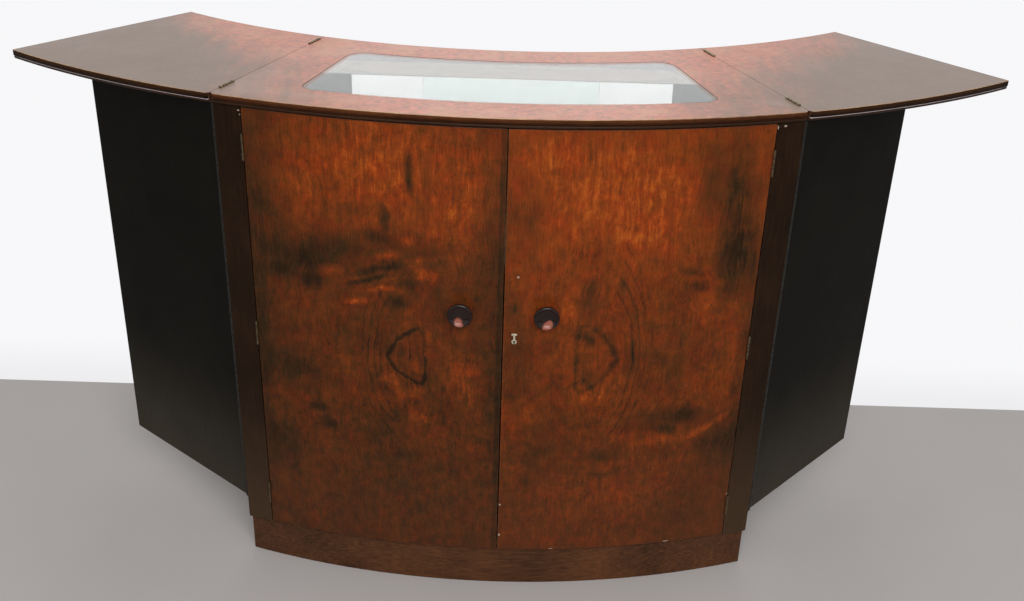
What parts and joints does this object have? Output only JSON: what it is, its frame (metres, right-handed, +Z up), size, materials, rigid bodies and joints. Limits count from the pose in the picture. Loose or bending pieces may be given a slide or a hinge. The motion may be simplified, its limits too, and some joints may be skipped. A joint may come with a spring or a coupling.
{
  "type": "bar cabinet with fold-out shelf",
  "caption": "Bow-fronted bar cabinet with curved doors, a glass pane set in the top, and side leaves that fold out over hinged gate wings.",
  "frame": {"origin": "on the floor, in the middle of the open bar's box in X and Y", "axes": "+X to the cabinet's right seen from the front, along the row of leaf, middle and leaf; front faces -Y; +Z up"},
  "size_m": [2.0652, 0.7311, 1.0934],
  "materials": {
    "top_veneer": "burl veneer, glossy varnish",
    "door_veneer": "figured walnut veneer, satin varnish",
    "dark_wood": "very dark stained wood, glossy varnish",
    "plinth_wood": "dark brown stained wood, satin varnish",
    "inner_wood": "plain light wood, matt varnish",
    "knob_wood": "turned dark wood, polished",
    "glass": "clear polished plate glass",
    "hinge_brass": "aged brass",
    "hinge_steel": "dull nickelled steel",
    "lock_brass": "brass, slightly tarnished",
    "pale_metal": "worn nickel plate"
  },
  "bodies": {
    "root": {"centre_top": "top_veneer", "glass_panel": "glass", "bottom_board": "inner_wood", "back_panel": "dark_wood", "front_rail": "inner_wood", "rear_rail": "inner_wood", "lower_shelf": "inner_wood", "upper_shelf": "inner_wood", "plinth_front": "plinth_wood", "plinth_back": "plinth_wood", "plinth_blocks": "inner_wood", "shelf_cleats": "inner_wood", "left_stile": "dark_wood", "left_side": "dark_wood", "left_plinth_end": "plinth_wood", "left_door_hinge_fixed": "hinge_brass", "left_top_hinge_fixed": "hinge_brass", "left_wing_hinge_fixed": "hinge_steel", "right_stile": "dark_wood", "right_side": "dark_wood", "right_plinth_end": "plinth_wood", "right_door_hinge_fixed": "hinge_brass", "right_top_hinge_fixed": "hinge_brass", "right_wing_hinge_fixed": "hinge_steel", "bolt_keeper": "lock_brass"},
    "left_door": {"left_door": "door_veneer", "left_knob": "knob_wood", "left_door_hinge_moving": "hinge_brass", "lock_keeper": "lock_brass", "bolt_guide": "lock_brass"},
    "right_door": {"right_door": "door_veneer", "right_knob": "knob_wood", "right_door_hinge_moving": "hinge_brass", "lock_case": "lock_brass", "escutcheon": "pale_metal"},
    "left_leaf": {"left_leaf": "top_veneer", "left_top_hinge_moving": "hinge_brass"},
    "right_leaf": {"right_leaf": "top_veneer", "right_top_hinge_moving": "hinge_brass"},
    "left_wing": {"left_wing": "dark_wood", "left_wing_hinge_moving": "hinge_steel"},
    "right_wing": {"right_wing": "dark_wood", "right_wing_hinge_moving": "hinge_steel"},
    "lock_bolt": {"lock_bolt": "lock_brass"},
    "door_bolt": {"door_bolt": "lock_brass"}
  },
  "joints": [
    {"name": "left_door_swing", "type": "hinge", "parent": "root", "child": "left_door", "pos_m": [-0.50779, -0.26325, 0.585], "axis": [0, 0, -1], "range_deg": [0, 115]},
    {"name": "right_door_swing", "type": "hinge", "parent": "root", "child": "right_door", "pos_m": [0.50779, -0.26325, 0.585], "axis": [0, 0, 1], "range_deg": [0, 115]},
    {"name": "left_leaf_fold", "type": "hinge", "parent": "root", "child": "left_leaf", "pos_m": [-0.49, -0.03458, 1.0908], "axis": [0.3327, 0.943, 0], "range_deg": [0, 180]},
    {"name": "right_leaf_fold", "type": "hinge", "parent": "root", "child": "right_leaf", "pos_m": [0.49, -0.03458, 1.0908], "axis": [0.3327, -0.943, 0], "range_deg": [0, 180]},
    {"name": "left_wing_swing", "type": "hinge", "parent": "root", "child": "left_wing", "pos_m": [-0.56485, -0.23594, 0.609], "axis": [0, 0, 1], "range_deg": [-69.9, 20.1]},
    {"name": "right_wing_swing", "type": "hinge", "parent": "root", "child": "right_wing", "pos_m": [0.56485, -0.23594, 0.609], "axis": [0, 0, -1], "range_deg": [-63.1, 26.9]},
    {"name": "lock_bolt_shoot", "type": "slide", "parent": "right_door", "child": "lock_bolt", "axis": [-1, 0, 0], "range_m": [0, 0.009]},
    {"name": "door_bolt_slide", "type": "slide", "parent": "left_door", "child": "door_bolt", "axis": [0, 0, 1], "range_m": [0, 0.014]}
  ]
}
